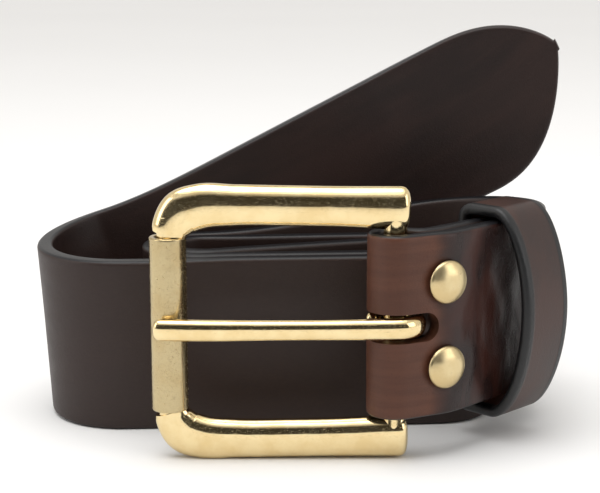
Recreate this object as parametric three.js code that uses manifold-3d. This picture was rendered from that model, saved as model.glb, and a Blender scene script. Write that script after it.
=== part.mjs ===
// A gentleman's leather belt, coiled and standing on its lower edge.
// Millimetres, +Z up. X runs along the coil, the buckle faces -Y, and the coil stands on Z = 0.
// The strap is one length of leather: its buckle end folds round the heel bar, then the strap winds
// inward, crosses the middle of the coil in an S, winds outward again and ends in the rising tip.
import * as THREE from 'three';
import { mergeVertices } from 'three/addons/utils/BufferGeometryUtils.js';
import Module from 'manifold-3d';

const wasm = await Module();
wasm.setup();

// ---- driving dimensions ----
const strap = { width: 39.4, thick: 3.6, foldThick: 3.0, edgeRadius: 1.1, tipLength: 26, tipSkew: 6.5 };
const bar = { x: 19.5, y: -24, radius: 2.5 };            // heel bar, the axis of frame and prong
const rollerAxis = { x: -28, y: -24 };
const roller = { radius: 3.9, bore: 2.8, length: 37.4 };
const frame = { height: 59.2, opening: 40, thick: 5.4, left: -32, right: 23, frontBar: 2.4 };
const buckleMid = frame.height / 2;                      // height of the prong and of the folded tab
const coilMid = strap.width / 2;                         // mid height of the turns that stand
const prong = { eye: 6.7, eyeBore: 3, eyeWidth: 4.8, width: 4.6, thick: 3.2, reach: 50.5 };
const slot = { height: 6.2, end: 28 };
const rivet = { cap: 4.65, capHeight: 1.7, shank: 1.6, hole: 1.95, base: 3.3, baseHeight: 1, spread: 18.4 };
const keeper = { length: 15, wall: 2.5, inside: 7, bulge: 6.4, headroom: 1.3, drop: 0.7 };
const gap = 0.3;                                         // clearance between touching pieces
const punch = { radius: 2.25, first: 110, step: 15, count: 3 };
const rise = { angle: 26.5, lead: 25, trail: 29, ease: 2.4 };  // the tip leaves the coil at this slope
const lean = { angle: 3.8, from: -12, to: -34 };          // the left turns flare outward at the top

const leather = { dark: 0x35221c, tan: 0x6b3f2a };
const brass = { colour: 0xd9b45a, rough: 0.22 };

// ---- small tools ----
const deg = Math.PI / 180;
const smooth = (t) => {
  const u = Math.min(1, Math.max(0, t));
  return u * u * (3 - 2 * u);
};

function material(colour, roughness, metalness) {
  return new THREE.MeshStandardMaterial({ color: colour, roughness, metalness });
}

function toSolid(geometry) {
  const bare = geometry.index ? geometry.toNonIndexed() : geometry.clone();
  bare.deleteAttribute('normal');
  bare.deleteAttribute('uv');
  const merged = mergeVertices(bare, 1e-4);
  const vertProperties = new Float32Array(merged.attributes.position.array);
  const triVerts = new Uint32Array(merged.index.array);
  return new wasm.Manifold(new wasm.Mesh({ numProp: 3, vertProperties, triVerts }));
}

function toGeometry(solid) {
  const mesh = solid.getMesh();
  const geometry = new THREE.BufferGeometry();
  geometry.setAttribute('position', new THREE.BufferAttribute(new Float32Array(mesh.vertProperties), 3));
  geometry.setIndex(new THREE.BufferAttribute(new Uint32Array(mesh.triVerts), 1));
  geometry.computeVertexNormals();
  return geometry;
}

function joined(parts) {
  return toGeometry(parts.map(toSolid).reduce((whole, part) => whole.add(part)));
}

function uprightCylinder(radius, height, sides) {
  return new THREE.CylinderGeometry(radius, radius, height, sides).rotateX(Math.PI / 2);
}

// The points of a closed outline, without the repeats where its curves meet.
function outlinePoints(curve, divisions) {
  const apart = (a, b) => a.distanceTo(b) > 1e-3;
  const points = curve.getPoints(divisions).filter((p, i, all) => i === 0 || apart(p, all[i - 1]));
  if (!apart(points[0], points[points.length - 1])) points.pop();
  return points;
}

function node(name, geometry, finish) {
  const mesh = new THREE.Mesh(geometry, finish);
  mesh.name = name;
  return mesh;
}

// ---- plan path of the strap: arcs on pegs joined by common tangents ----
// turn > 0 winds counter-clockwise seen from above, turn < 0 clockwise; its size is the radius.
const coil = {
  left: { x: -40.9, y: 12 },
  innerLeft: { x: -22, y: 13 },
  right: { x: 30, y: 13 },
  outer: { x: 29, y: 11 },
};
const pegs = [
  { ...coil.outer, turn: -21.1, name: 'plyEnd' },
  { x: 24.4, y: -15.7, turn: -5 },
  { x: bar.x, y: bar.y, turn: bar.radius + gap + 0.1 + strap.foldThick / 2, name: 'fold' },
  { x: 21.2, y: -9.9, turn: 16, name: 'tab' },
  { ...coil.outer, turn: 25, name: 'outer' },
  { ...coil.innerLeft, turn: 12, name: 'second' },
  { ...coil.right, turn: 8.4, name: 'inner' },
  { ...coil.innerLeft, turn: -7.6, name: 'heart' },
  { ...coil.right, turn: -12.8 },
  { ...coil.left, turn: -17, name: 'flare' },
  { x: 43, y: -76.8, turn: -118, name: 'tip' },
];
const path = { startHeading: 290, endHeading: -10.7, arcStep: 14, lineStep: 9 };

function tangentHeading(a, b) {
  const dx = b.x - a.x;
  const dy = b.y - a.y;
  return Math.atan2(dy, dx) - Math.asin((b.turn - a.turn) / Math.hypot(dx, dy));
}

function onPeg(peg, heading) {
  return { x: peg.x + peg.turn * Math.sin(heading), y: peg.y - peg.turn * Math.cos(heading), heading };
}

function planPath() {
  const points = [];
  const marks = {};
  let heading = path.startHeading * deg;
  let travelled = 0;
  const push = (point) => {
    const last = points[points.length - 1];
    if (last) travelled += Math.hypot(point.x - last.x, point.y - last.y);
    points.push({ ...point, s: travelled });
  };
  pegs.forEach((peg, i) => {
    const next = pegs[i + 1];
    let leave = next ? tangentHeading(peg, next) : path.endHeading * deg;
    const sense = Math.sign(peg.turn);
    while (sense * (leave - heading) < 0) leave += sense * 2 * Math.PI;
    while (sense * (leave - heading) > 2 * Math.PI) leave -= sense * 2 * Math.PI;
    const swing = leave - heading;
    const longestStep = Math.min(path.arcStep * deg, 5 / Math.abs(peg.turn));
    const steps = Math.max(2, Math.ceil(Math.abs(swing) / longestStep));
    push(onPeg(peg, heading));
    const begin = travelled;
    for (let k = 1; k <= steps; k += 1) push(onPeg(peg, heading + (swing * k) / steps));
    if (peg.name) marks[peg.name] = { begin, end: travelled };
    heading = leave;
    if (!next) return;
    const to = onPeg(next, heading);
    const from = points[points.length - 1];
    const run = Math.hypot(to.x - from.x, to.y - from.y);
    const lineSteps = Math.max(1, Math.round(run / path.lineStep));
    for (let k = 1; k < lineSteps; k += 1) {
      const t = k / lineSteps;
      push({ x: from.x + (to.x - from.x) * t, y: from.y + (to.y - from.y) * t, heading });
    }
  });
  const firstOf = (p, i) => i === 0 || p.s - points[i - 1].s > 1e-6;
  return { points: points.filter(firstOf), marks, length: travelled };
}


const plan = planPath();
const { marks } = plan;

// ---- the strap in space: mid line, slope, lean and width at each station ----
const middle = (marks.inner.end + marks.heart.begin) / 2;   // the S, where the strap changes sides

function midHeight(s) {
  if (s < middle) {
    const drop = smooth((s - marks.outer.begin - 10) / (marks.second.begin - marks.outer.begin - 10));
    return buckleMid + (coilMid - buckleMid) * drop;
  }
  return coilMid + climb(s);
}

function slopeAngle(s) {
  const start = marks.flare.begin - rise.lead;
  const full = marks.flare.end + rise.trail;
  return rise.angle * deg * smooth((s - start) / (full - start)) ** rise.ease;
}

function climb(s) {
  const start = marks.flare.begin - rise.lead;
  const steps = 80;
  const step = Math.max(0, s - start) / steps;
  let height = 0;
  for (let k = 0; k < steps; k += 1) height += Math.tan(slopeAngle(start + (k + 0.5) * step)) * step;
  return height;
}

function planAt(s) {
  const { points } = plan;
  let i = 1;
  while (i < points.length - 1 && points[i].s < s) i += 1;
  const a = points[i - 1];
  const b = points[i];
  const t = (s - a.s) / (b.s - a.s);
  return {
    x: a.x + (b.x - a.x) * t,
    y: a.y + (b.y - a.y) * t,
    heading: a.heading + (b.heading - a.heading) * t,
  };
}

// A frame on the mid line: along the strap, across its width, and out of its grain face.
function station(s) {
  const p = planAt(s);
  const height = midHeight(s);
  const slope = (midHeight(s + 0.5) - midHeight(s - 0.5));
  const along = new THREE.Vector3(Math.cos(p.heading), Math.sin(p.heading), slope).normalize();
  const right = new THREE.Vector3(Math.sin(p.heading), -Math.cos(p.heading), 0);
  const tilt = lean.angle * deg * smooth((p.x - lean.from) / (lean.to - lean.from));
  const outward = s < middle ? 1 : -1;
  const upright = new THREE.Vector3(0, 0, Math.cos(tilt)).addScaledVector(right, Math.sin(tilt) * outward);
  const across = upright.addScaledVector(along, -upright.dot(along)).normalize();
  const out = new THREE.Vector3().crossVectors(along, across).normalize();
  return { at: new THREE.Vector3(p.x, p.y, height), along, across, out };
}

// Half width: full along the strap, then a rounded point at the tip.
function halfWidth(s) {
  const u = (s - (plan.length - strap.tipLength)) / strap.tipLength;
  const full = strap.width / 2;
  return u <= 0 ? full : full * Math.max(0.07, (1 - u ** 2.4) ** 0.82);
}

// The point of the tip sits above the middle of the strap.
function tipShift(s) {
  const u = Math.max(0, (s - (plan.length - strap.tipLength)) / strap.tipLength);
  return strap.tipSkew * u * u;
}

function thickness(s) {
  const spread = smooth((s - marks.fold.end) / (marks.tab.end - marks.fold.end));
  return strap.foldThick + (strap.thick - strap.foldThick) * spread;
}

// Section of the strap: a rectangle with rounded edges, listed once round.
function section(half, thick) {
  const radius = Math.min(strap.edgeRadius, half * 0.6);
  const corners = [[1, 1], [-1, 1], [-1, -1], [1, -1]];
  return corners.flatMap(([a, b], k) => [0, 1, 2].map((step) => {
    const angle = (k * 90 + step * 45) * deg;
    return [
      a * (half - radius) + radius * Math.cos(angle),
      b * (thick / 2 - radius) + radius * Math.sin(angle),
    ];
  }));
}

function stationList() {
  const start = plan.length - strap.tipLength;
  const body = plan.points.map((p) => p.s).filter((s) => s < start - 2);
  const tipSteps = 10;
  const tip = Array.from({ length: tipSteps + 1 }, (_, k) => {
    const u = Math.sin((k / tipSteps) * (Math.PI / 2));
    return start + u * (strap.tipLength - 0.01);
  });
  return [...body, ...tip];
}

function loft(stations) {
  const positions = [];
  const rings = stations.map((s) => {
    const { at, across, out } = station(s);
    return section(halfWidth(s), thickness(s)).map(([w, n]) => {
      const lift = w + tipShift(s);
      positions.push(...at.clone().addScaledVector(across, lift).addScaledVector(out, n).toArray());
      return positions.length / 3 - 1;
    });
  });
  const sides = rings[0].length;
  const index = [];
  for (let r = 0; r < rings.length - 1; r += 1) {
    for (let k = 0; k < sides; k += 1) {
      const a = rings[r][k];
      const b = rings[r][(k + 1) % sides];
      const c = rings[r + 1][(k + 1) % sides];
      const d = rings[r + 1][k];
      index.push(a, b, c, a, c, d);
    }
  }
  const last = rings[rings.length - 1];
  for (let k = 1; k < sides - 1; k += 1) {
    index.push(rings[0][0], rings[0][k + 1], rings[0][k]);
    index.push(last[0], last[k], last[k + 1]);
  }
  const geometry = new THREE.BufferGeometry();
  geometry.setAttribute('position', new THREE.Float32BufferAttribute(positions, 3));
  geometry.setIndex(index);
  return geometry;
}

// Places geometry built with X along the strap, Y out of the grain face and Z across the width.
function placeOn(geometry, s, inward = 0, up = 0) {
  const { at, along, across, out } = station(s);
  const origin = at.clone().addScaledVector(out, -inward).addScaledVector(across, up);
  const matrix = new THREE.Matrix4().makeBasis(along, out.clone(), across);
  if (matrix.determinant() < 0) matrix.makeBasis(along.clone().negate(), out.clone(), across);
  matrix.setPosition(origin);
  return geometry.applyMatrix4(matrix);
}

// ---- rivets: four pairs of cap and post; the plies' distance apart sets each shank ----
const rivetRows = [
  { name: 'front', s: marks.tab.begin + 0.8, apart: 4.4 },
  { name: 'rear', s: marks.outer.begin + 15, apart: 3.9 },
];
const rivets = rivetRows.flatMap((row) => [-1, 1].map((side) => ({
  name: `${row.name}_${side > 0 ? 'upper' : 'lower'}`,
  s: row.s,
  apart: row.apart,
  up: (side * rivet.spread) / 2,
})));

// The hole through both plies, and the seat that the base of the post presses into the back ply.
function rivetHoles({ s, up, apart }) {
  const drill = new THREE.CylinderGeometry(rivet.hole, rivet.hole, 16, 12);
  const seatDepth = 4;
  const seat = new THREE.CylinderGeometry(rivet.base + gap, rivet.base + gap, seatDepth, 20);
  const seatTop = apart + strap.foldThick / 2;
  return [placeOn(drill, s, 3, up), placeOn(seat, s, seatTop + seatDepth / 2, up)];
}

// The cap's outline runs from its flat back over the dome; the shank stops short of the dome.
function rivetCap({ s, up }) {
  const { cap, capHeight } = rivet;
  const outline = [[0, 0], [cap, 0], [cap, 0.45], [cap * 0.86, 1.05], [cap * 0.6, 1.45], [0, capHeight]];
  const dome = new THREE.LatheGeometry(outline.map(([r, h]) => new THREE.Vector2(r, h)), 24);
  return placeOn(dome, s, -(strap.thick / 2 + gap), up);
}

function rivetPost({ s, up, apart }) {
  const back = apart + strap.foldThick / 2 + gap;
  const top = back + strap.thick / 2;
  const outline = [
    [0, -rivet.baseHeight], [rivet.base, -rivet.baseHeight], [rivet.base, 0],
    [rivet.shank, 0], [rivet.shank, top], [0, top],
  ];
  const post = new THREE.LatheGeometry(outline.map(([r, h]) => new THREE.Vector2(r, h)), 20);
  return placeOn(post, s, back, up);
}

// ---- strap ----
function prongSlot() {
  const wide = slot.height;
  const depth = 26;
  const from = bar.x - 8;
  const long = slot.end - slot.height / 2 - from;
  const box = new THREE.BoxGeometry(long, depth, wide).translate(from + long / 2, bar.y, buckleMid);
  const round = new THREE.CylinderGeometry(wide / 2, wide / 2, depth, 20);
  round.translate(from + long, bar.y, buckleMid);
  return [box, round];
}

function punchHole(k) {
  const drill = new THREE.CylinderGeometry(punch.radius, punch.radius, 5.5, 16);
  const slant = Math.cos(rise.angle * deg);
  return placeOn(drill, plan.length - (punch.first + k * punch.step) * slant);
}

function makeStrap() {
  const cutters = [
    ...prongSlot(),
    ...rivets.flatMap(rivetHoles),
    ...Array.from({ length: punch.count }, (_, k) => punchHole(k)),
  ];
  const whole = toSolid(loft(stationList()));
  return toGeometry(cutters.map(toSolid).reduce((body, cutter) => body.subtract(cutter), whole));
}

// ---- buckle frame: two arms, the heel bar and the bar that carries the roller ----
function arm(side) {
  const { left, right, height, opening, thick } = frame;
  const outer = height / 2;
  const inner = opening / 2;
  const outline = new THREE.Path();
  outline.absarc(left + 11.4, outer - 10.6, 10.6, Math.PI, Math.PI / 2, true);
  outline.absarc(right - 5, outer - 5.4, 5, Math.PI / 2, 0, true);
  outline.lineTo(right, inner + 2);
  outline.quadraticCurveTo(right - 0.5, inner, right - 2.5, inner);
  outline.lineTo(left + 22, inner + 0.4);
  outline.quadraticCurveTo(left + 14, inner + 0.2, left + 9, inner - 1);
  const bevel = 1;
  const solid = new THREE.ExtrudeGeometry(new THREE.Shape(outlinePoints(outline, 6)), {
    depth: thick - 2 * bevel,
    bevelEnabled: true,
    bevelThickness: bevel,
    bevelSize: bevel,
    bevelOffset: -bevel,
    bevelSegments: 2,
  });
  solid.translate(0, 0, -thick / 2 + bevel);
  solid.rotateX((side * Math.PI) / 2);
  return solid.translate(0, bar.y, buckleMid);
}

function makeFrame() {
  const barLength = frame.opening + 6;
  const heel = uprightCylinder(bar.radius, barLength, 24).translate(bar.x, bar.y, buckleMid);
  const front = uprightCylinder(frame.frontBar, barLength, 24);
  front.translate(rollerAxis.x, rollerAxis.y, buckleMid);
  return joined([arm(1), arm(-1), heel, front]);
}

function makeRoller() {
  const { radius, bore, length } = roller;
  const h = length / 2;
  const outline = [[bore, -h], [radius - 0.3, -h], [radius, 0.3 - h], [radius, h - 0.3], [radius - 0.3, h],
    [bore, h], [bore, -h]];
  const tube = new THREE.LatheGeometry(outline.map(([r, z]) => new THREE.Vector2(r, z)), 32);
  return tube.rotateX(Math.PI / 2).translate(rollerAxis.x, rollerAxis.y, buckleMid);
}

// ---- prong: an eye round the heel bar and a tapering tongue that lies on the roller ----
function makeProng() {
  const eye = new THREE.LatheGeometry([
    [prong.eyeBore, -prong.eyeWidth / 2], [prong.eye, -prong.eyeWidth / 2], [prong.eye, prong.eyeWidth / 2],
    [prong.eyeBore, prong.eyeWidth / 2], [prong.eyeBore, -prong.eyeWidth / 2],
  ].map(([r, z]) => new THREE.Vector2(r, z)), 28);
  eye.rotateX(Math.PI / 2).translate(bar.x, bar.y, buckleMid);
  const onRoller = rollerAxis.y - roller.radius - gap - prong.thick / 2;
  const route = new THREE.CatmullRomCurve3([
    new THREE.Vector3(bar.x + 1.5, bar.y - 5.0, buckleMid),
    new THREE.Vector3(bar.x - 6, bar.y - 5.4, buckleMid),
    new THREE.Vector3(bar.x - 24, bar.y - 5.6, buckleMid),
    new THREE.Vector3(rollerAxis.x + 6, onRoller - 0.2, buckleMid),
    new THREE.Vector3(bar.x - prong.reach, onRoller, buckleMid),
  ]);
  const oval = new THREE.Shape();
  oval.absellipse(0, 0, prong.width / 2, prong.thick / 2, 0, Math.PI * 2);
  const tongue = new THREE.ExtrudeGeometry(oval, { extrudePath: route, steps: 16, curveSegments: 7 });
  return joined([eye, tongue]);
}

// ---- keeper: a band of leather that bulges in front of the strap and is flat behind it ----
function keeperOutline(grow) {
  const half = strap.width / 2 + keeper.headroom + grow;
  const back = -(keeper.inside + grow);
  const side = 0.5;
  const front = strap.thick / 2 + keeper.bulge + grow;
  const corner = 1 + grow;
  const shape = new THREE.Path();
  shape.moveTo(back + corner, -half);
  shape.lineTo(side, -half);
  shape.bezierCurveTo((front + side) / 2, -half, front, -half / 2, front, 0);
  shape.bezierCurveTo(front, half / 2, (front + side) / 2, half, side, half);
  shape.lineTo(back + corner, half);
  shape.absarc(back + corner, half - corner, corner, Math.PI / 2, Math.PI, false);
  shape.absarc(back + corner, corner - half, corner, Math.PI, Math.PI * 1.5, false);
  return shape;
}

const keeperAt = marks.outer.begin - 1.5;

function makeKeeper() {
  const band = new THREE.Shape(outlinePoints(keeperOutline(keeper.wall), 10));
  band.holes.push(new THREE.Path(outlinePoints(keeperOutline(0), 10).reverse()));
  const solid = new THREE.ExtrudeGeometry(band, {
    depth: keeper.length - 1,
    bevelEnabled: true,
    bevelThickness: 0.5,
    bevelSize: 0.5,
    bevelOffset: -0.5,
    bevelSegments: 1,
  });
  solid.translate(0, 0, -(keeper.length - 1) / 2);
  // the outline's X points out of the grain face and its Y across the width
  const axes = new THREE.Matrix4().makeBasis(
    new THREE.Vector3(0, 1, 0),
    new THREE.Vector3(0, 0, 1),
    new THREE.Vector3(1, 0, 0),
  );
  return placeOn(solid.applyMatrix4(axes), keeperAt, 0, -keeper.drop);
}

// ---- the belt ----
const darkLeather = material(leather.dark, 0.5, 0);
const tanLeather = material(leather.tan, 0.45, 0);
const brassFinish = () => material(brass.colour, brass.rough, 1);

const belt = new THREE.Group();
belt.add(node('strap', makeStrap(), darkLeather));
belt.add(node('keeper', makeKeeper(), tanLeather));
belt.add(node('buckle_frame', makeFrame(), brassFinish()));
belt.add(node('roller', makeRoller(), brassFinish()));
belt.add(node('prong', makeProng(), brassFinish()));
rivets.forEach((each) => {
  belt.add(node(`rivet_cap_${each.name}`, rivetCap(each), brassFinish()));
  belt.add(node(`rivet_post_${each.name}`, rivetPost(each), brassFinish()));
});

// The origin is under the middle of the belt, on the surface that it stands on.
const box = new THREE.Box3().setFromObject(belt);
const centre = box.getCenter(new THREE.Vector3());
belt.position.set(-centre.x, -centre.y, -box.min.z);
export default belt;
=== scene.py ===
"""A coiled leather belt with a brass roller buckle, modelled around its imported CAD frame.

Lengths are millimetres in the belt's own drawing until a mesh is made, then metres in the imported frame.
The strap is drawn flat, as (distance along it, distance across it, height off its middle), gets its slot
and holes there, and is then bent round the coil. Its flat coordinates stay on it for its leather.
"""
import math

import bpy
import numpy as np
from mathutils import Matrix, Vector, noise


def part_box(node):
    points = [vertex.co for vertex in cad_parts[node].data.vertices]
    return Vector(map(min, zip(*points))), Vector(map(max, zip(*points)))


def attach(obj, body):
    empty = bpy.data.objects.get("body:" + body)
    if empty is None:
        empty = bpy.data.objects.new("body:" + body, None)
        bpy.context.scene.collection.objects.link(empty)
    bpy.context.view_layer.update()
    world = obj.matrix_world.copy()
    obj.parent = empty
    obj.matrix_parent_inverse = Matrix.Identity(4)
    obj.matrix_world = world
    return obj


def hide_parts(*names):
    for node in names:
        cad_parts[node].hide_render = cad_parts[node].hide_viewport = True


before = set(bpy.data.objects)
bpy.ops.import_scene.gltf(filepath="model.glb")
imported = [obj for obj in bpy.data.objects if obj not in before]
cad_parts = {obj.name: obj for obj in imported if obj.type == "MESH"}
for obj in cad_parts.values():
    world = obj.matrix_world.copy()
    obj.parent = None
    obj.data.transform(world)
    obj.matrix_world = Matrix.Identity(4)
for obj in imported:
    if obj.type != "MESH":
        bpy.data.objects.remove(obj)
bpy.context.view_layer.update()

MM = 0.001
DEG = math.pi / 180

# ---- driving dimensions, as the CAD has them ----
WIDTH, THICK, FOLD_THICK, TIP_LENGTH, TIP_SKEW = 39.4, 3.6, 3.0, 26.0, 6.5
EDGE_RADIUS = 0.95
BAR = (19.5, -24.0)                     # heel bar, seen from above
BAR_RADIUS = 2.5
ROLLER = (-28.0, -24.0)
ROLLER_RADIUS, ROLLER_BORE, ROLLER_LENGTH = 3.9, 2.8, 37.4
BUCKLE_MID, COIL_MID = 29.6, 19.7
FRAME_OPENING, FRAME_THICK, FRONT_BAR_RADIUS = 40.0, 5.4, 2.4
PRONG_REACH, PRONG_THICK = 50.5, 3.2
EYE_RADIUS = 4.85                       # the middle of the metal in the prong's loop
GAP = 0.3
SLOT_HEIGHT, SLOT_END = 6.2, 28.0
RIVET_SPREAD = 18.4                     # between the two rivets of a row
RIVET_FRONT, RIVET_FRONT_PLIES = 0.8, 4.4    # distance past the start of the tab's bend; plies apart
RIVET_REAR, RIVET_REAR_PLIES = 15.0, 3.9     # the same past the start of the outer turn
CAP_RADIUS, CAP_HEIGHT, BASE_RADIUS, SHANK_RADIUS, RIVET_HOLE = 4.65, 1.7, 3.3, 1.6, 1.95
KEEPER_LENGTH, KEEPER_WALL, KEEPER_INSIDE = 15.0, 2.5, 7.0
KEEPER_BULGE, KEEPER_ROOM, KEEPER_DROP = 6.4, 1.3, 0.7
KEEPER_BACK = 1.5                       # its middle lies this far before the outer turn
TIP_FLOOR = 0.07                        # the tip's least width, as a share of the strap's
PUNCH_RADIUS, PUNCH_FIRST, PUNCH_STEP, PUNCH_COUNT = 2.25, 110.0, 15.0, 3
RISE_ANGLE, RISE_LEAD, RISE_TRAIL, RISE_EASE = 26.5 * DEG, 25.0, 29.0, 2.4
LEAN_ANGLE, LEAN_FROM, LEAN_TO = 3.8 * DEG, -12.0, -34.0

# The plan path: arcs on pegs joined by common tangents. A positive turn winds counter-clockwise.
LEFT, INNER_LEFT, RIGHT, OUTER = (-40.9, 12), (-22, 13), (30, 13), (29, 11)
PEGS = [
    (OUTER, -21.1, "ply_end"),
    ((24.4, -15.7), -5, ""),
    (BAR, BAR_RADIUS + GAP + 0.1 + FOLD_THICK / 2, "fold"),
    ((21.2, -9.9), 16, "tab"),
    (OUTER, 25, "outer"),
    (INNER_LEFT, 12, "second"),
    (RIGHT, 8.4, "inner"),
    (INNER_LEFT, -7.6, "heart"),
    (RIGHT, -12.8, ""),
    (LEFT, -17, "flare"),
    ((43, -76.8), -118, "tip"),
]
START_HEADING, END_HEADING = 290 * DEG, -10.7 * DEG

# The drawing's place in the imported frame, from the roller, whose centre is known in both.
roller_low, roller_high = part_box("roller")
SHIFT = np.array((roller_low + roller_high) / 2) / MM - np.array([*ROLLER, BUCKLE_MID])


def smooth(t):
    """0 to 1 with flat ends."""
    t = np.clip(t, 0, 1)
    return t * t * (3 - 2 * t)


def unit(v):
    return v / np.linalg.norm(v, axis=-1, keepdims=True)


# ---- the strap's path ----
def tangent_heading(a, b):
    (ax, ay), turn_a, _ = a
    (bx, by), turn_b, _ = b
    dx, dy = bx - ax, by - ay
    return math.atan2(dy, dx) - math.asin((turn_b - turn_a) / math.hypot(dx, dy))


def on_peg(peg, heading):
    (x, y), turn, _ = peg
    return (x + turn * math.sin(heading), y - turn * math.cos(heading), heading)


def plan_path():
    """Points (x, y, heading) of the path seen from above, their distances, and the named arcs."""
    points, spans = [], {}
    heading = START_HEADING
    for i, peg in enumerate(PEGS):
        following = PEGS[i + 1] if i + 1 < len(PEGS) else None
        leave = tangent_heading(peg, following) if following else END_HEADING
        sense = math.copysign(1, peg[1])
        while sense * (leave - heading) < 0:
            leave += sense * 2 * math.pi
        while sense * (leave - heading) > 2 * math.pi:
            leave -= sense * 2 * math.pi
        steps = max(4, math.ceil(abs(leave - heading) / (1.5 * DEG)))
        first = len(points)
        points += [on_peg(peg, heading + (leave - heading) * k / steps) for k in range(steps + 1)]
        spans[peg[2]] = (first, len(points) - 1)
        heading = leave
    points = np.array(points)
    steps = np.hypot(*np.diff(points[:, :2], axis=0).T)
    distance = np.concatenate([[0], np.cumsum(steps)])
    return points, distance, {name: (distance[a], distance[b]) for name, (a, b) in spans.items()}


PLAN, PLAN_S, MARK = plan_path()
LENGTH = PLAN_S[-1]
MIDDLE = (MARK["inner"][1] + MARK["heart"][0]) / 2      # the S, where the strap changes sides


def slope_angle(s):
    start = MARK["flare"][0] - RISE_LEAD
    return RISE_ANGLE * smooth((s - start) / (MARK["flare"][1] + RISE_TRAIL - start)) ** RISE_EASE


def make_stations():
    """Dense frames on the strap's middle line: place, along, across and out of the grain face."""
    s = np.linspace(0, LENGTH, 3200)
    x, y, heading = (np.interp(s, PLAN_S, PLAN[:, k]) for k in range(3))
    climb = np.concatenate([[0], np.cumsum(np.tan(slope_angle(s[1:] - (s[1] - s[0]) / 2)) * np.diff(s))])
    drop_from = MARK["outer"][0] + 10
    drop = smooth((s - drop_from) / (MARK["second"][0] - drop_from))
    z = np.where(s < MIDDLE, BUCKLE_MID + (COIL_MID - BUCKLE_MID) * drop, COIL_MID + climb)
    along = unit(np.stack([np.cos(heading), np.sin(heading), np.gradient(z, s)], 1))
    aside = np.stack([np.sin(heading), -np.cos(heading), 0 * s], 1)
    tilt = LEAN_ANGLE * smooth((x - LEAN_FROM) / (LEAN_TO - LEAN_FROM))
    outward = np.where(s < MIDDLE, 1, -1)
    upright = aside * (np.sin(tilt) * outward)[:, None]
    upright[:, 2] = np.cos(tilt)
    across = unit(upright - along * (upright * along).sum(1)[:, None])
    return s, np.stack([x, y, z], 1), along, across, np.cross(along, across)


STATIONS = make_stations()


def station(s):
    """Place, along, across and out at distances s, as arrays of rows."""
    s = np.atleast_1d(s)
    rows = [np.stack([np.interp(s, STATIONS[0], part[:, k]) for k in range(3)], 1) for part in STATIONS[1:]]
    return rows[0], unit(rows[1]), unit(rows[2]), unit(rows[3])


def bend(flat):
    """Flat strap coordinates (s, w, n) to drawing coordinates."""
    at, _, across, out = station(flat[:, 0])
    lift = flat[:, 1] + tip_shift(flat[:, 0])
    return at + across * lift[:, None] + out * flat[:, 2:3]


def half_width(s):
    u = np.clip((s - (LENGTH - TIP_LENGTH)) / TIP_LENGTH, 0, 1)
    return WIDTH / 2 * np.maximum(TIP_FLOOR, (1 - u ** 2.4) ** 0.82)


def tip_shift(s):
    """The point of the tip sits above the middle of the strap."""
    return TIP_SKEW * np.clip((s - (LENGTH - TIP_LENGTH)) / TIP_LENGTH, 0, 1) ** 2


def thickness(s):
    fold_end, tab_end = MARK["fold"][1], MARK["tab"][1]
    return FOLD_THICK + (THICK - FOLD_THICK) * smooth((s - fold_end) / (tab_end - fold_end))


# ---- mesh tools ----
def to_frame(points):
    return (np.asarray(points, float) + SHIFT) * MM


def new_object(name, points, faces):
    """A mesh object from drawing coordinates."""
    mesh = bpy.data.meshes.new(name)
    mesh.from_pydata([tuple(p) for p in to_frame(points)], [], faces)
    mesh.validate()
    obj = bpy.data.objects.new(name, mesh)
    bpy.context.scene.collection.objects.link(obj)
    return obj


def set_points(obj, points):
    obj.data.vertices.foreach_set("co", np.asarray(points, np.float32).ravel())
    obj.data.update()


def get_points(obj):
    co = np.zeros(len(obj.data.vertices) * 3, np.float32)
    obj.data.vertices.foreach_get("co", co)
    return co.reshape(-1, 3).astype(float)


def store(obj, name, values):
    """A vector for each vertex that the material reads by name."""
    attribute = obj.data.attributes.new(name, "FLOAT_VECTOR", "POINT")
    attribute.data.foreach_set("vector", np.asarray(values, np.float32).ravel())


def shade(obj, angle=38):
    obj.data.shade_smooth()
    obj.data.set_sharp_from_angle(angle=angle * DEG)


def tube_faces(rings, sides, closed=False):
    """Quads between rings of points, with caps at both ends unless the rings close on themselves."""
    faces = []
    for r in range(rings if closed else rings - 1):
        after = (r + 1) % rings
        for k in range(sides):
            beside = (k + 1) % sides
            faces.append((r * sides + k, r * sides + beside, after * sides + beside, after * sides + k))
    if not closed:
        faces.append(tuple(reversed(range(sides))))
        faces.append(tuple(range((rings - 1) * sides, rings * sides)))
    return faces


def face_outward(obj):
    """Turns the faces of a closed mesh so that they look outward."""
    mesh = obj.data
    mesh.calc_loop_triangles()
    co = get_points(obj)
    tri = np.array([t.vertices[:] for t in mesh.loop_triangles])
    a, b, c = co[tri[:, 0]], co[tri[:, 1]], co[tri[:, 2]]
    if (a * np.cross(b, c)).sum() < 0:
        mesh.flip_normals()


def boolean(obj, cutter, operation):
    """Applies a boolean and removes the cutter."""
    modifier = obj.modifiers.new("boolean", "BOOLEAN")
    modifier.operation = operation
    modifier.solver = "EXACT"
    modifier.object = cutter
    graph = bpy.context.evaluated_depsgraph_get()
    made = bpy.data.meshes.new_from_object(obj.evaluated_get(graph))
    obj.modifiers.clear()
    obj.data = made
    bpy.data.objects.remove(cutter)


def merged(name, parts):
    """One object from several separate closed meshes, drawing coordinates kept."""
    points, faces = [], []
    for part_points, part_faces in parts:
        base = len(points)
        points += [tuple(p) for p in part_points]
        faces += [tuple(base + i for i in f) for f in part_faces]
    return new_object(name, np.array(points), faces)


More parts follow.
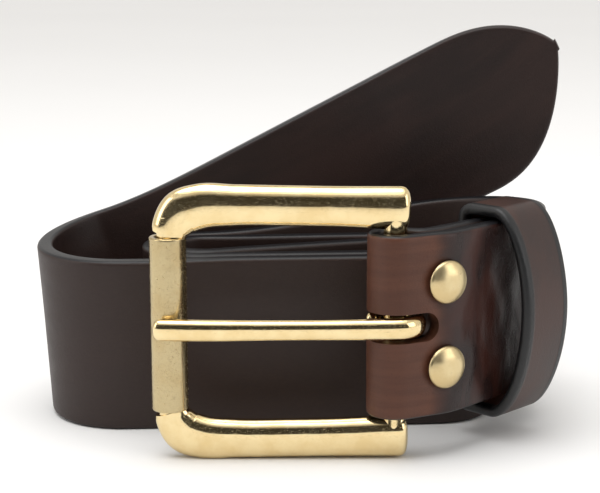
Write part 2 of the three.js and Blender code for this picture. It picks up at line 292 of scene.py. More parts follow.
def cylinder(centre, axis, side, radius, length, sides=48):
    """Points and faces of a cylinder; axis and side are unit vectors."""
    axis, side = np.array(axis, float), np.array(side, float)
    other = np.cross(axis, side)
    angles = np.arange(sides) * 2 * math.pi / sides
    ring = radius * (np.outer(np.cos(angles), side) + np.outer(np.sin(angles), other))
    points = np.concatenate([np.array(centre) + ring + axis * h for h in (-length / 2, length / 2)])
    return points, tube_faces(2, sides)


def wobble(points, scale, amount, seed=0.0):
    """A gentle, repeatable unevenness at each point."""
    moved = [noise.noise(Vector(p) / scale + Vector((seed, 2 * seed, 3 * seed))) for p in points]
    return amount * np.array(moved)


# ---- strap ----
def strap_section(half, thick):
    """The strap's cut: two flat faces with rounded edges."""
    radius = min(EDGE_RADIUS, half * 0.7)
    widths = list(np.linspace(half - radius, radius - half, 41)[1:-1])
    points = []
    for a, b, start in ((1, 1, 0), (-1, 1, 90), (-1, -1, 180), (1, -1, 270)):
        for step in range(7):
            angle = (start + step * 15) * DEG
            points.append((a * (half - radius) + radius * math.cos(angle),
                           b * (thick / 2 - radius) + radius * math.sin(angle)))
        if start == 0:
            points += [(w, thick / 2) for w in widths]
        if start == 180:
            points += [(w, -thick / 2) for w in reversed(widths)]
    return points


def rivet_list():
    tab, outer = MARK["tab"], MARK["outer"]
    rows = [("front", tab[0] + RIVET_FRONT, RIVET_FRONT_PLIES),
            ("rear", outer[0] + RIVET_REAR, RIVET_REAR_PLIES)]
    return [(f"{row}_{word}", s, apart, side * RIVET_SPREAD / 2)
            for row, s, apart in rows for side, word in ((-1, "lower"), (1, "upper"))]


RIVETS = rivet_list()


def strap_relief(flat):
    """How far the leather stands off its plain shape: dents round rivets, creases, and small waves."""
    s, w, n = flat.T
    grain = n > 0
    lift = np.zeros(len(s))
    for _, at, _, up in RIVETS:
        distance = np.hypot(s - at, w - up)
        lift -= np.where(grain, 0.42 * np.exp(-(distance / 6.0) ** 4), 0)
        lift += np.where(grain, 0.16 * np.exp(-((distance - 7.2) / 1.5) ** 2), 0)
    tab, outer = MARK["tab"], MARK["outer"]
    puckered = smooth((s - tab[0]) / 9) * smooth((outer[0] + 26 - s) / 16)
    ripples = np.stack([s * 0.20, w * 0.10, 0 * s], 1)
    folds = np.array([noise.noise(Vector(p)) for p in ripples])
    fine = np.array([noise.noise(Vector(p) * 2.7 + Vector((4, 9, 1))) for p in ripples])
    middle = np.exp(-(w / 15) ** 4)
    lift += np.where(grain, puckered * middle * (0.36 * folds + 0.06 * fine), 0)
    return lift + wobble(np.stack([s, w, 0 * s], 1), 21, 0.12, 3.1)


def make_strap():
    """The strap: lofted flat, pierced flat, then bent round the coil."""
    tip_start = LENGTH - TIP_LENGTH
    body = np.linspace(0, tip_start, 760)
    tip = tip_start + TIP_LENGTH * np.sin(np.linspace(0, math.pi / 2, 44))[1:]
    tip[-1] -= 0.01
    stations = np.concatenate([body, tip])
    rings = [strap_section(float(half_width(s)), float(thickness(s))) for s in stations]
    flat = [(s, w, n) for s, ring in zip(stations, rings) for w, n in ring]
    obj = new_object("strap_leather", np.array(flat), tube_faces(len(stations), len(rings[0])))
    face_outward(obj)
    boolean(obj, merged("cutters", strap_cutters()), "DIFFERENCE")
    flat = get_points(obj) / MM - SHIFT
    store(obj, "flat", flat)
    relief = strap_relief(flat)
    flat[:, 2] += relief
    set_points(obj, to_frame(bend(flat)))
    face_outward(obj)
    shade(obj)
    return obj


def slot_span():
    """The prong slot's two ends along the strap, from where the path passes the slot's end."""
    s, at = STATIONS[0], STATIONS[1]
    near = (s < MARK["tab"][1] + 10) & (at[:, 0] < SLOT_END)
    return s[near].min(), s[near].max()


def strap_cutters():
    """Cutters in flat coordinates: the prong slot, rivet holes, seats of the posts, and punch holes."""
    through, widthwise = (0, 0, 1), (0, 1, 0)
    first, last = slot_span()
    half = SLOT_HEIGHT / 2
    turn = np.linspace(-math.pi / 2, math.pi / 2, 25)
    outline = [(last - half + half * math.cos(a), half * math.sin(a)) for a in turn]
    outline += [(first + half - half * math.cos(a), -half * math.sin(a)) for a in turn]
    points = [(s, w, n) for n in (-8, 8) for s, w in outline]
    cutters = [(np.array(points), tube_faces(2, len(outline)))]
    for _, at, apart, up in RIVETS:
        cutters.append(cylinder((at, up, 0), through, widthwise, RIVET_HOLE, 16, 32))
    for at, up in back_ply_places():
        cutters.append(cylinder((at, up, 0), through, widthwise, BASE_RADIUS + GAP, 16, 40))
    slant = math.cos(RISE_ANGLE)
    for k in range(PUNCH_COUNT):
        at = LENGTH - (PUNCH_FIRST + k * PUNCH_STEP) * slant
        cutters.append(cylinder((at, 0, 0), through, widthwise, PUNCH_RADIUS, 16, 40))
    return cutters


def back_ply_places():
    """Where each rivet's axis meets the folded-back ply, as (distance, height across)."""
    places = []
    s, at, _, across, _ = STATIONS
    ply = s < MARK["fold"][0]
    for _, rivet_s, _, up in RIVETS:
        origin, _, _, out = (row[0] for row in station(rivet_s))
        offset = at[ply] - origin
        sideways = offset - np.outer(offset @ out, out)
        nearest = np.argmin(np.linalg.norm(sideways, axis=1))
        places.append((s[ply][nearest], up))
    return places


# ---- placing pieces on the strap ----
def on_strap(points, s, inward=0.0, up=0.0):
    """Local (along, out, across) coordinates to the drawing, at distance s of the strap."""
    at, along, across, out = (row[0] for row in station(s))
    origin = at - out * inward + across * up
    points = np.asarray(points, float)
    return origin + points[:, 0:1] * along + points[:, 1:2] * out + points[:, 2:3] * across


def lathe(outline, sides):
    """Points round the Y axis from (radius, height) pairs, and faces; the two ends lie on the axis."""
    angles = np.arange(sides) * 2 * math.pi / sides
    rings = [(r * np.cos(a), h, r * np.sin(a)) for r, h in outline[1:-1] for a in angles]
    count = len(outline) - 2
    points = np.array(rings + [(0, outline[0][1], 0), (0, outline[-1][1], 0)])
    faces = tube_faces(count, sides)[:-2]
    first, last = len(points) - 2, len(points) - 1
    for k in range(sides):
        beside = (k + 1) % sides
        faces.append((first, beside, k))
        faces.append((last, (count - 1) * sides + k, (count - 1) * sides + beside))
    return points, faces


def make_rivet_cap(name, s, up):
    """A low dome with a rolled rim, hammered a little flat in the middle."""
    rim = [(CAP_RADIUS * 0.9, 0), (CAP_RADIUS * 0.97, 0.06), (CAP_RADIUS, 0.22), (CAP_RADIUS * 0.985, 0.42)]
    dome = []
    for u in np.linspace(0.95, 0.04, 16):
        dome.append((CAP_RADIUS * u, CAP_HEIGHT * (1 - u ** 2.6) * 0.72 + 0.5))
    outline = [(0, 0), *rim, *dome, (0, CAP_HEIGHT * 0.72 + 0.5)]
    points, faces = lathe(outline, 56)
    points[:, 1] += np.where(points[:, 1] > 0.45, wobble(points, 2.6, 0.07, 1.7 + up), 0)
    obj = new_object(f"cap_{name}", on_strap(points, s, -(THICK / 2 + 0.05), up), faces)
    store(obj, "local", points)
    return obj


def make_rivet_post(name, s, up, apart):
    """The post: a flat base on the back ply and a shank through both plies."""
    back = apart + FOLD_THICK / 2 + GAP
    top = back + THICK / 2 - 0.05
    edge = 0.2
    outline = [(0, -1), (BASE_RADIUS - edge, -1), (BASE_RADIUS, edge - 1), (BASE_RADIUS, -edge),
               (BASE_RADIUS - edge, 0), (SHANK_RADIUS + edge, 0), (SHANK_RADIUS, edge),
               (SHANK_RADIUS, top), (0, top)]
    points, faces = lathe(outline, 40)
    obj = new_object(f"post_{name}", on_strap(points, s, back, up), faces)
    store(obj, "local", points)
    return obj


# ---- swept brass ----
def sweep(centres, normals, sides_axis, halves, power, sides):
    """Points and faces of a superelliptic bar along centres.

    normals and sides_axis are the section's two directions at each centre; halves its two half sizes.
    """
    angles = np.arange(sides) * 2 * math.pi / sides
    c, d = np.cos(angles), np.sin(angles)
    c = np.sign(c) * np.abs(c) ** (2 / power)
    d = np.sign(d) * np.abs(d) ** (2 / power)
    points = []
    for centre, a, b, (p, q) in zip(centres, normals, sides_axis, halves):
        points.append(centre + np.outer(c * p, a) + np.outer(d * q, b))
    return np.concatenate(points), tube_faces(len(centres), sides)


def catmull(keys, count):
    """A smooth curve through rows of numbers, each row (place, value, value, ...), at even places."""
    keys = np.array(keys, float)
    t = keys[:, 0]
    slopes = np.gradient(keys[:, 1:], t, axis=0)
    at = np.linspace(t[0], t[-1], count)
    i = np.clip(np.searchsorted(t, at, side="right") - 1, 0, len(t) - 2)
    h = (t[i + 1] - t[i])[:, None]
    u = ((at - t[i])[:, None]) / h
    p0, p1, m0, m1 = keys[i, 1:], keys[i + 1, 1:], slopes[i] * h, slopes[i + 1] * h
    return ((2 * u ** 3 - 3 * u ** 2 + 1) * p0 + (u ** 3 - 2 * u ** 2 + u) * m0
            + (3 * u ** 2 - 2 * u ** 3) * p1 + (u ** 3 - u ** 2) * m1)


def end_rounding(count, length, depth, both=False):
    """A factor on a section's size that rounds off the last end, or both ends, of a bar of that length."""
    place = np.linspace(0, length, count)

    def rounding(from_end):
        return np.clip(1 - np.clip(1 - from_end / depth, 0, 1) ** 2.6, 0.02, 1) ** 0.5

    return rounding(length - place) * rounding(place) if both else rounding(length - place)


# An arm's centre line and half width: place, X, height over the buckle's middle, half width.
ARM_KEYS = [
    (0, -27.7, 19.05, 3.6), (2.6, -27.1, 20.9, 4.1), (6.4, -24.9, 23.7, 4.8), (10.4, -21.4, 24.95, 4.75),
    (18, -14.0, 25.25, 4.35), (30, -3.0, 25.15, 4.25), (42, 9.0, 24.95, 4.3), (50, 17.0, 24.75, 4.5),
    (55.6, 22.6, 24.65, 4.6),
]
ARM_LEAN = 4 * DEG          # the arms' front faces slope back to the outside of the buckle
ARM_POWER, PRONG_POWER = 2.2, 2.25      # superellipse powers of the sections; 2 is round
ARM_END, PRONG_END = 2.2, 1.6           # how much of a bar's end is rounded off


def arm_bar(side):
    """One arm of the buckle: it rises from the roller, turns, and runs to a rounded heel."""
    count = 150
    rows = catmull(ARM_KEYS, count)
    centres = np.stack([rows[:, 0], np.full(count, BAR[1]), BUCKLE_MID + side * rows[:, 1]], 1)
    along = unit(np.gradient(centres, axis=0))
    forward = np.tile([0.0, 1.0, 0.0], (count, 1))
    across = np.cross(along, forward)
    lean = ARM_LEAN * side * smooth(rows[:, 0] / 6 + 5)[:, None]
    forward, across = (forward * np.cos(lean) - across * np.sin(lean),
                       across * np.cos(lean) + forward * np.sin(lean))
    shrink = end_rounding(count, ARM_KEYS[-1][0], ARM_END)
    tall = rows[:, 2] * (0.55 + 0.45 * shrink) * shrink ** 0.2
    halves = np.stack([tall, FRAME_THICK / 2 * shrink ** 0.7], 1)
    return sweep(centres, across, forward, halves, ARM_POWER, 64)


def make_buckle_frame():
    upright, sideways = (0, 0, 1), (1, 0, 0)
    length = FRAME_OPENING + 6
    parts = [
        arm_bar(1), arm_bar(-1),
        cylinder((*BAR, BUCKLE_MID), upright, sideways, BAR_RADIUS, length),
        cylinder((*ROLLER, BUCKLE_MID), upright, sideways, FRONT_BAR_RADIUS, length),
    ]
    pieces = [new_object("buckle_frame_casting", points, faces) for points, faces in parts]
    for piece in pieces:
        face_outward(piece)
    whole = pieces[0]
    for piece in pieces[1:]:
        boolean(whole, piece, "UNION")
    shade(whole)
    store(whole, "local", get_points(whole) / MM)
    return whole


def make_roller():
    """The roller: a rolled brass tube with soft ends and an open seam at the back."""
    half, edge = ROLLER_LENGTH / 2, 0.35
    steps = 108
    seam = 1.6 * DEG
    angles = np.linspace(90 * DEG + seam, 450 * DEG - seam, steps)
    profile = []
    for a in np.linspace(0, 90, 6) * DEG:
        profile.append((ROLLER_RADIUS - edge * (1 - math.sin(a)), -half + edge * (1 - math.cos(a))))
    heights = list(np.linspace(-half + edge, half - edge, 70)[1:-1])
    outer = profile + [(ROLLER_RADIUS, h) for h in heights] + [(r, -h) for r, h in reversed(profile)]
    inner = [(ROLLER_BORE, half - 0.15), (ROLLER_BORE, 0.15 - half)]
    ring = [(ROLLER_BORE + 0.15, -half), *outer, (ROLLER_BORE + 0.15, half), *inner]
    points = []
    for a in angles:
        for r, h in ring:
            wear = 1 - 0.004 * (noise.noise(Vector((math.cos(a) * 3, math.sin(a) * 3, h * 0.35))) + 0.5)
            grow = wear if r > ROLLER_BORE + 0.2 else 1
            points.append((ROLLER[0] + r * grow * math.cos(a), ROLLER[1] + r * grow * math.sin(a),
                           BUCKLE_MID + h))
    obj = new_object("roller_tube", points, tube_faces(steps, len(ring)))
    face_outward(obj)
    shade(obj)
    store(obj, "local", get_points(obj) / MM)
    return obj


def prong_rows():
    """The prong's centre line in plan, with its half thickness and half width."""
    on_roller = ROLLER[1] - ROLLER_RADIUS - GAP - PRONG_THICK / 2
    tip = BAR[0] - PRONG_REACH
    rows = [(tip, on_roller + 0.1, 1.35, 2.2), (tip + 4, on_roller, 1.55, 2.3),
            (tip + 10, on_roller - 0.25, 1.6, 2.3),
            (BAR[0] - 24, BAR[1] - 5.75, 1.6, 2.15), (BAR[0] - 10, BAR[1] - 5.4, 1.65, 2.2),
            (BAR[0] - 4, BAR[1] - 5.05, 1.75, 2.3)]
    for angle in range(-90, 196, 15):
        taper = smooth((angle - 60) / 120)
        rows.append((BAR[0] + EYE_RADIUS * math.cos(angle * DEG), BAR[1] + EYE_RADIUS * math.sin(angle * DEG),
                     float(1.8 - 0.4 * taper), 2.35))
    return rows


def make_prong():
    rows = np.array(prong_rows())
    place = np.concatenate([[0], np.cumsum(np.hypot(*np.diff(rows[:, :2], axis=0).T))])
    count = 190
    curve = catmull(np.column_stack([place, rows]), count)
    centres = np.column_stack([curve[:, :2], np.full(count, BUCKLE_MID)])
    along = unit(np.gradient(centres, axis=0))
    upright = np.tile([0.0, 0.0, 1.0], (count, 1))
    outward = np.cross(along, upright)
    shrink = end_rounding(count, place[-1], PRONG_END, both=True)
    halves = curve[:, 2:4] * shrink[:, None] ** 0.9
    points, faces = sweep(centres, outward, upright, halves, PRONG_POWER, 40)
    obj = new_object("prong_tongue", points, faces)
    face_outward(obj)
    shade(obj, 50)
    store(obj, "local", get_points(obj) / MM)
    return obj


# ---- keeper ----
def bezier(a, b, c, d, count):
    t = np.linspace(0, 1, count + 1)[:-1, None]
    a, b, c, d = (np.array(p, float) for p in (a, b, c, d))
    return a * (1 - t) ** 3 + 3 * b * t * (1 - t) ** 2 + 3 * c * t ** 2 * (1 - t) + d * t ** 3


def keeper_outline(grow):
    """The keeper's outline, as (out of the grain face, across the strap), grown from its inside."""
    half = WIDTH / 2 + KEEPER_ROOM + grow
    back = -(KEEPER_INSIDE + grow)
    side = 0.5
    front = THICK / 2 + KEEPER_BULGE + grow
    corner = 1 + grow

    def line(a, b, count):
        t = np.linspace(0, 1, count + 1)[:-1, None]
        return np.array(a) * (1 - t) + np.array(b) * t

    def arc(start):
        centre = np.array((back + corner, (half - corner) * (1 if start == 90 else -1)))
        a = (start + np.arange(8) * 90 / 8) * DEG
        return centre + corner * np.column_stack([np.cos(a), np.sin(a)])

    return np.concatenate([
        line((back + corner, -half), (side, -half), 10),
        bezier((side, -half), ((front + side) / 2, -half), (front, -half / 2), (front, 0), 34),
        bezier((front, 0), (front, half / 2), ((front + side) / 2, half), (side, half), 34),
        line((side, half), (back + corner, half), 10),
        arc(90),
        line((back, half - corner), (back, corner - half), 30),
        arc(180),
    ])


KEEPER_AT = MARK["outer"][0] - KEEPER_BACK


def keeper_section():
    """The band's cut, as (share of the wall from the inside, place along the strap)."""
    half, radius = KEEPER_LENGTH / 2 - 0.02, 1.15
    wall = KEEPER_WALL
    points = []
    for a, b, start in ((1, 1, 0), (-1, 1, 90), (-1, -1, 180), (1, -1, 270)):
        for step in range(6):
            angle = (start + step * 18) * DEG
            points.append((a * (wall / 2 - radius) + radius * math.cos(angle),
                           b * (half - radius) + radius * math.sin(angle)))
        if start in (0, 180):
            continue
        flat = np.linspace(b * (half - radius), -b * (half - radius), 16)[1:-1]
        points += [(a * wall / 2, v) for v in flat]
    return [(n / wall + 0.5, v) for n, v in points]


def make_keeper():
    inside, outside = keeper_outline(0), keeper_outline(KEEPER_WALL)
    section = keeper_section()
    run = np.concatenate([[0], np.cumsum(np.hypot(*np.diff(outside, axis=0).T))])
    points, flat = [], []
    for (x0, y0), (x1, y1), u in zip(inside, outside, run):
        for share, v in section:
            uneven = 0.25 * noise.noise(Vector((u / 17, v / 9, share)))
            points.append((v + uneven, x0 + (x1 - x0) * share, y0 + (y1 - y0) * share))
            flat.append((u, v, (share - 0.5) * KEEPER_WALL))
    faces = tube_faces(len(inside), len(section), True)
    obj = new_object("keeper_band", on_strap(points, KEEPER_AT, 0, -KEEPER_DROP), faces)
    store(obj, "flat", flat)
    face_outward(obj)
    shade(obj)
    return obj


# ---- materials ----
BRASS_LIGHT, BRASS_DEEP, BRASS_TARNISH = (0.86, 0.70, 0.40), (0.78, 0.60, 0.31), (0.50, 0.37, 0.19)
STRAP_DARK, STRAP_LIGHT = (0.0150, 0.0080, 0.0070), (0.0275, 0.0135, 0.0112)
STRAP_STREAK = (0.037, 0.0175, 0.0138)
TAN_DARK, TAN_LIGHT, TAN_SPECK = (0.088, 0.0300, 0.0155), (0.118, 0.0425, 0.0225), (0.045, 0.016, 0.010)
GLAZE_DARK, GLAZE_LIGHT = (0.016, 0.0070, 0.0062), (0.047, 0.0150, 0.0105)
LINING_DARK, LINING_LIGHT = (0.024, 0.0145, 0.0125), (0.040, 0.025, 0.021)
KEEPER_DARK, KEEPER_LIGHT = (0.018, 0.0098, 0.0085), (0.041, 0.0165, 0.0115)
KEEPER_STREAK = (0.052, 0.0185, 0.0120)
KEEPER_RAW_DARK, KEEPER_RAW_LIGHT = (0.10, 0.028, 0.013), (0.20, 0.062, 0.030)
STRAP_EDGE, KEEPER_EDGE = (0.0085, 0.0085, 0.0100), (0.0075, 0.0078, 0.0088)
PAPER_DARK, PAPER_LIGHT = (0.83, 0.83, 0.83), (0.86, 0.86, 0.86)
class Nodes:
    """A material's node tree, with short calls to add to it."""

    def __init__(self, name):
        self.material = bpy.data.materials.new(name)
        self.material.use_nodes = True
        self.tree = self.material.node_tree
        self.shader = self.tree.nodes["Principled BSDF"]

    def put(self, socket, value):
        if hasattr(value, "is_output"):
            self.tree.links.new(value, socket)
        else:
            socket.default_value = value

    def add(self, kind, inputs=None, **settings):
        node = self.tree.nodes.new(kind)
        for key, value in settings.items():
            setattr(node, key, value)
        for key, value in (inputs or {}).items():
            self.put(node.inputs[key], value)
        return node

    def math(self, operation, a, b=0.0, clamp=False):
        node = self.add("ShaderNodeMath", {0: a, 1: b}, operation=operation, use_clamp=clamp)
        return node.outputs[0]

    def step(self, value, low, high, to_low=0.0, to_high=1.0):
        """A smooth step of value from low to high."""
        node = self.add("ShaderNodeMapRange", {0: value, 1: low, 2: high, 3: to_low, 4: to_high},
                        interpolation_type="SMOOTHSTEP")
        return node.outputs[0]

    def mix(self, factor, a, b):
        node = self.add("ShaderNodeMix", data_type="RGBA")
        self.put(node.inputs[0], factor)
        self.put(node.inputs[6], (*a, 1) if isinstance(a, tuple) else a)
        self.put(node.inputs[7], (*b, 1) if isinstance(b, tuple) else b)
        return node.outputs[2]

    def blend(self, factor, a, b):
        node = self.add("ShaderNodeMix", data_type="FLOAT")
        for index, value in ((0, factor), (2, a), (3, b)):
            self.put(node.inputs[index], value)
        return node.outputs[0]

    def attribute(self, name):
        return self.add("ShaderNodeAttribute", attribute_name=name).outputs["Vector"]

    def stretch(self, vector, x, y, z):
        node = self.add("ShaderNodeVectorMath", {0: vector, 1: (x, y, z)}, operation="MULTIPLY")
        return node.outputs[0]

    def noise(self, vector, scale, detail=4.0, rough=0.5, distortion=0.0):
        node = self.add("ShaderNodeTexNoise", {"Vector": vector, "Scale": scale, "Detail": detail,
                                               "Roughness": rough, "Distortion": distortion})
        return node.outputs[0]

    def cells(self, vector, scale, feature="F1"):
        node = self.add("ShaderNodeTexVoronoi", {"Vector": vector, "Scale": scale}, feature=feature)
        return node.outputs["Distance"]

    def bump(self, height, distance, strength=1.0):
        """Relief of that real depth in millimetres where height goes from 0 to 1."""
        previous = self.shader.inputs["Normal"].links
        node = self.add("ShaderNodeBump", {"Height": height, "Distance": distance * MM, "Strength": strength})
        if previous:
            self.tree.links.new(previous[0].from_socket, node.inputs["Normal"])
        self.tree.links.new(node.outputs[0], self.shader.inputs["Normal"])

    def set(self, **values):
        for key, value in values.items():
            self.put(self.shader.inputs[key.replace("_", " ")], value)


def grained(nodes, flat):
    """Fine leather grain: pores and a pebbled skin. Returns a 0 to 1 height."""
    cells = nodes.cells(nodes.stretch(flat, 1.0, 1.25, 1.0), 2.1, "SMOOTH_F1")
    pores = nodes.step(nodes.cells(flat, 1.15), 0.05, 0.16)
    fine = nodes.noise(flat, 3.4, 5, 0.65)
    skin = nodes.math("ADD", nodes.math("MULTIPLY", cells, 0.45), nodes.math("MULTIPLY", fine, 0.55))
    return nodes.math("MULTIPLY", skin, pores)


def strap_material():
    nodes = Nodes("bridle_leather")
    flat = nodes.attribute("flat")
    parts = nodes.add("ShaderNodeSeparateXYZ", {0: flat})
    s, w, n = parts.outputs
    blotches = nodes.noise(nodes.stretch(flat, 0.5, 1.0, 1.0), 0.055, 4, 0.6, 0.4)
    streaks = nodes.noise(nodes.stretch(flat, 0.12, 1.0, 1.0), 0.35, 4, 0.6)
    body = nodes.mix(nodes.step(blotches, 0.3, 0.72), STRAP_DARK, STRAP_LIGHT)
    body = nodes.mix(nodes.math("MULTIPLY", nodes.step(streaks, 0.45, 0.8), 0.35), body, STRAP_STREAK)
    uneven = nodes.math("MULTIPLY", nodes.math("SUBTRACT", blotches, 0.5), 10.0)
    place = nodes.math("ADD", s, uneven)
    fold, tab, outer = MARK["fold"], MARK["tab"], MARK["outer"]
    pulled = nodes.math("MULTIPLY", nodes.step(place, fold[0] - 14, fold[0] - 4),
                        nodes.step(place, tab[0] - 3.5, tab[0] + 2.5, 1.0, 0.0))
    tan = nodes.mix(nodes.step(streaks, 0.3, 0.7), TAN_DARK, TAN_LIGHT)
    specks = nodes.step(nodes.noise(flat, 2.6, 3, 0.6), 0.60, 0.70)
    tan = nodes.mix(nodes.math("MULTIPLY", specks, 0.55), tan, TAN_SPECK)
    body = nodes.mix(nodes.math("MULTIPLY", pulled, 0.93), body, tan)
    glazed = nodes.math("MULTIPLY", nodes.step(place, tab[0] - 3, tab[0] + 4),
                        nodes.step(s, outer[0] + 10, outer[0] + 30, 1.0, 0.0))
    wrinkle = nodes.noise(nodes.stretch(flat, 1.0, 0.42, 1.0), 0.14, 2, 0.45, 0.5)
    warm = nodes.mix(nodes.step(wrinkle, 0.40, 0.68), GLAZE_DARK, GLAZE_LIGHT)
    body = nodes.mix(nodes.math("MULTIPLY", glazed, 0.85), body, warm)
    flesh = nodes.step(n, -0.9, -1.35)
    fibres = nodes.noise(nodes.stretch(flat, 0.5, 1.0, 1.0), 1.6, 5, 0.7)
    lining = nodes.mix(fibres, LINING_DARK, LINING_LIGHT)
    body = nodes.mix(nodes.math("MULTIPLY", flesh, 0.8), body, lining)
    edge_distance = nodes.math("ABSOLUTE", w)
    depth = nodes.math("ABSOLUTE", n)
    rim = nodes.step(edge_distance, WIDTH / 2 - 0.45, WIDTH / 2 - 0.15)
    side = nodes.math("MULTIPLY", nodes.step(depth, THICK / 2 - 0.1, THICK / 2 - 0.5), 0.25)
    paint = nodes.math("ADD", rim, side, clamp=True)
    body = nodes.mix(paint, body, STRAP_EDGE)
    height = grained(nodes, flat)
    gloss = nodes.blend(nodes.noise(flat, 0.35, 4, 0.6), 0.40, 0.54)
    gloss = nodes.blend(glazed, gloss, nodes.blend(wrinkle, 0.22, 0.34))
    gloss = nodes.blend(pulled, gloss, 0.44)
    gloss = nodes.blend(paint, gloss, 0.36)
    nodes.set(Base_Color=body, Roughness=gloss)
    nodes.shader.inputs["Specular IOR Level"].default_value = 0.32
    nodes.bump(height, 0.055)
    nodes.bump(nodes.math("MULTIPLY", wrinkle, glazed), 0.35)
    return nodes.material


def keeper_material():
    nodes = Nodes("keeper_leather")
    flat = nodes.attribute("flat")
    parts = nodes.add("ShaderNodeSeparateXYZ", {0: flat})
    _, v, n = parts.outputs
    blotches = nodes.noise(nodes.stretch(flat, 0.5, 1.0, 1.0), 0.09, 4, 0.6)
    streaks = nodes.noise(nodes.stretch(flat, 0.1, 1.0, 1.0), 1.2, 4, 0.6)
    body = nodes.mix(nodes.step(blotches, 0.35, 0.65), KEEPER_DARK, KEEPER_LIGHT)
    body = nodes.mix(nodes.math("MULTIPLY", streaks, 0.4), body, KEEPER_STREAK)
    inside = nodes.step(n, -0.7, -1.05)
    fibres = nodes.noise(flat, 1.5, 5, 0.7)
    body = nodes.mix(inside, body, nodes.mix(fibres, KEEPER_RAW_DARK, KEEPER_RAW_LIGHT))
    edge = nodes.step(nodes.math("ABSOLUTE", v), KEEPER_LENGTH / 2 - 2.6, KEEPER_LENGTH / 2 - 1.9)
    body = nodes.mix(edge, body, KEEPER_EDGE)
    nodes.set(Base_Color=body, Roughness=nodes.blend(edge, nodes.blend(blotches, 0.34, 0.50), 0.40))
    nodes.shader.inputs["Specular IOR Level"].default_value = 0.45
    nodes.bump(grained(nodes, flat), 0.055)
    nodes.bump(nodes.math("MULTIPLY", nodes.noise(flat, 0.9, 4), edge), 0.10)
    return nodes.material


def brass_material(name, low, high, scratch, pits, satin=0.0, shade_of=1.0):
    """Brass: roughness between low and high, with fine scratches, dull spots and a little tarnish.

    scratch is the scratches' depth in mm, pits the spots' share of tarnish, satin their added roughness,
    and shade_of darkens the whole piece.
    """
    nodes = Nodes(name)
    local = nodes.attribute("local")
    film = nodes.noise(local, 0.16, 4, 0.6)
    spots = nodes.step(nodes.noise(local, 1.1, 6, 0.75), 0.56, 0.72)
    light, deep = (tuple(channel * shade_of for channel in colour) for colour in (BRASS_LIGHT, BRASS_DEEP))
    colour = nodes.mix(nodes.step(film, 0.35, 0.7), light, deep)
    colour = nodes.mix(nodes.math("MULTIPLY", spots, pits), colour, BRASS_TARNISH)
    hair = nodes.noise(nodes.stretch(local, 0.5, 3.0, 7.0), 2.4, 6, 0.7, 0.5)
    cross = nodes.noise(nodes.stretch(local, 6.0, 3.0, 0.6), 1.9, 5, 0.7, 0.8)
    lines = nodes.math("MAXIMUM", nodes.step(hair, 0.60, 0.66), nodes.step(cross, 0.62, 0.68))
    rough = nodes.blend(nodes.noise(local, 0.5, 5, 0.65), low, high)
    rough = nodes.math("ADD", rough, nodes.math("MULTIPLY", spots, satin))
    nodes.set(Base_Color=colour, Roughness=rough, Metallic=1.0)
    nodes.bump(lines, scratch)
    nodes.bump(nodes.noise(local, 0.22, 2, 0.4), 0.05)
    return nodes.material


def floor_material():
    nodes = Nodes("studio_paper")
    place = nodes.add("ShaderNodeTexCoord").outputs["Object"]
    tone = nodes.mix(nodes.noise(place, 3, 4), PAPER_DARK, PAPER_LIGHT)
    nodes.set(Base_Color=tone, Roughness=0.9)
    return nodes.material


# ---- the studio ----
CAMERA_PLACE, CAMERA_TILT, CAMERA_LENS, CAMERA_SENSOR = (-0.4, -350.0, 113.5), 78.32 * DEG, 95.8, 36
WALL_DIM, WALL_BRIGHT = 0.05, 0.80      # strength of the room's light in front of the belt and elsewhere
FLOOR_RADIUS, FLOOR_RINGS, FLOOR_SIDES = 4.0, 24, 64


def make_floor():
    radius, rings, sides = FLOOR_RADIUS, FLOOR_RINGS, FLOOR_SIDES
    points = [(0, 0, 0)]
    for k in range(1, rings + 1):
        r = radius * (k / rings) ** 1.5
        points += [(r * math.cos(a), r * math.sin(a), 0) for a in np.arange(sides) * 2 * math.pi / sides]
    faces = [(0, 1 + k, 1 + (k + 1) % sides) for k in range(sides)]
    for k in range(rings - 1):
        base = 1 + k * sides
        faces += [(base + i, base + sides + i, base + sides + (i + 1) % sides, base + (i + 1) % sides)
                  for i in range(sides)]
    mesh = bpy.data.meshes.new("floor")
    mesh.from_pydata(points, [], faces)
    mesh.materials.append(floor_material())
    obj = bpy.data.objects.new("floor", mesh)
    bpy.context.scene.collection.objects.link(obj)


def soft_light(name, place, size, watts, aim=(0, 0, 0.03)):
    data = bpy.data.lights.new(name, "AREA")
    data.shape = "RECTANGLE"
    data.size, data.size_y = size
    data.energy = watts
    obj = bpy.data.objects.new(name, data)
    obj.location = place
    obj.rotation_euler = (Vector(aim) - Vector(place)).to_track_quat("-Z", "Y").to_euler()
    bpy.context.scene.collection.objects.link(obj)


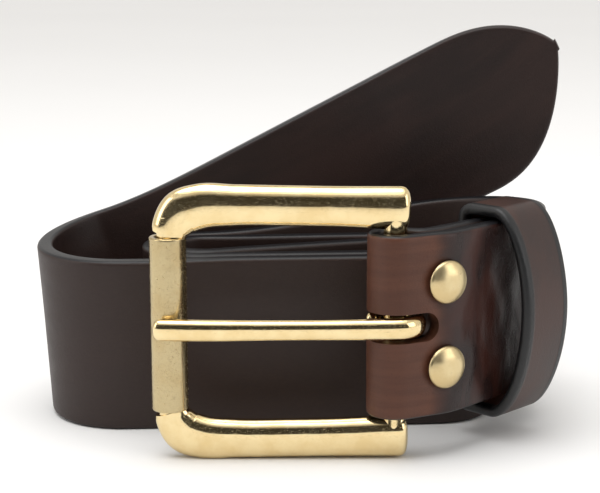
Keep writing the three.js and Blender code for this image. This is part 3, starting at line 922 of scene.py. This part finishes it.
def make_world():
    """A pale room with a dim wall in front of the belt, which gives polished brass its dark bands."""
    world = bpy.data.worlds.new("studio")
    world.use_nodes = True
    tree = world.node_tree
    background = tree.nodes["Background"]
    direction = tree.nodes.new("ShaderNodeSeparateXYZ")
    tree.links.new(tree.nodes.new("ShaderNodeTexCoord").outputs["Generated"], direction.inputs[0])

    def step(source, low, high, to_low, to_high):
        node = tree.nodes.new("ShaderNodeMapRange")
        node.interpolation_type = "SMOOTHSTEP"
        tree.links.new(source, node.inputs[0])
        for index, value in enumerate((low, high, to_low, to_high), 1):
            node.inputs[index].default_value = value
        return node.outputs[0]

    front = step(direction.outputs["Y"], -0.75, -0.35, 1.0, 0.0)
    low_down = step(direction.outputs["Z"], 0.45, 0.75, 1.0, 0.0)
    both = tree.nodes.new("ShaderNodeMath")
    both.operation = "MULTIPLY"
    tree.links.new(front, both.inputs[0])
    tree.links.new(low_down, both.inputs[1])
    tree.links.new(step(both.outputs[0], 0.0, 1.0, WALL_BRIGHT, WALL_DIM), background.inputs["Strength"])
    background.inputs["Color"].default_value = (1.0, 0.97, 0.93, 1)
    bpy.context.scene.world = world


def make_studio():
    make_world()
    soft_light("overhead", (-0.12, -0.10, 0.85), (0.7, 0.6), 3.4)
    soft_light("window_left", (-0.85, -0.30, 0.42), (0.4, 0.7), 1.6)
    soft_light("window_right", (0.85, -0.42, 0.36), (0.5, 0.6), 1.7)
    far_light = bpy.data.lights.new("far_light", "SUN")
    far_light.energy = 0.7
    far_light.angle = 60 * DEG
    holder = bpy.data.objects.new("far_light", far_light)
    holder.rotation_euler = (12 * DEG, 0, 0)
    bpy.context.scene.collection.objects.link(holder)
    bpy.context.scene.view_settings.view_transform = "Standard"


def make_camera():
    data = bpy.data.cameras.new("camera")
    data.lens = CAMERA_LENS
    data.sensor_width = CAMERA_SENSOR
    obj = bpy.data.objects.new("camera", data)
    obj.location = to_frame(CAMERA_PLACE)
    obj.rotation_euler = (CAMERA_TILT, 0, 0)
    bpy.context.scene.collection.objects.link(obj)
    bpy.context.scene.camera = obj


# ---- the belt ----
def dress(obj, material, body, slot_name, *nodes):
    """Gives a piece its material and the body it rides on, and hides the CAD nodes it stands for; slot_name
    is not used.
    """
    obj.data.materials.clear()
    obj.data.materials.append(material)
    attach(obj, body)
    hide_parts(*nodes)


def make_belt():
    polished = brass_material("polished_brass", 0.05, 0.13, 0.006, 0.10)
    # The roller's brass is this brass darkened to 0.62 all over and rougher, with nine tenths of its spots in
    # the BRASS_TARNISH colour, so its whole face reads darker.
    rolled = brass_material("roller_brass", 0.16, 0.30, 0.030, 0.9, 0.22, 0.62)
    pressed = brass_material("rivet_brass", 0.24, 0.34, 0.010, 0.2, 0.10, 0.8)
    dress(make_strap(), strap_material(), "belt_strap", "strap_leather", "strap")
    dress(make_keeper(), keeper_material(), "loop", "keeper_leather", "keeper")
    dress(make_buckle_frame(), polished, "frame", "cast_brass", "buckle_frame")
    dress(make_roller(), rolled, "tube", "roller_brass", "roller")
    dress(make_prong(), polished, "tongue", "cast_brass", "prong")
    for name, s, apart, up in RIVETS:
        cap = make_rivet_cap(name, s, up)
        post = make_rivet_post(name, s, up, apart)
        for piece, node in ((cap, f"rivet_cap_{name}"), (post, f"rivet_post_{name}")):
            face_outward(piece)
            shade(piece)
            dress(piece, pressed, "belt_strap", "rivet_brass", node)


make_belt()
make_floor()
make_studio()
make_camera()
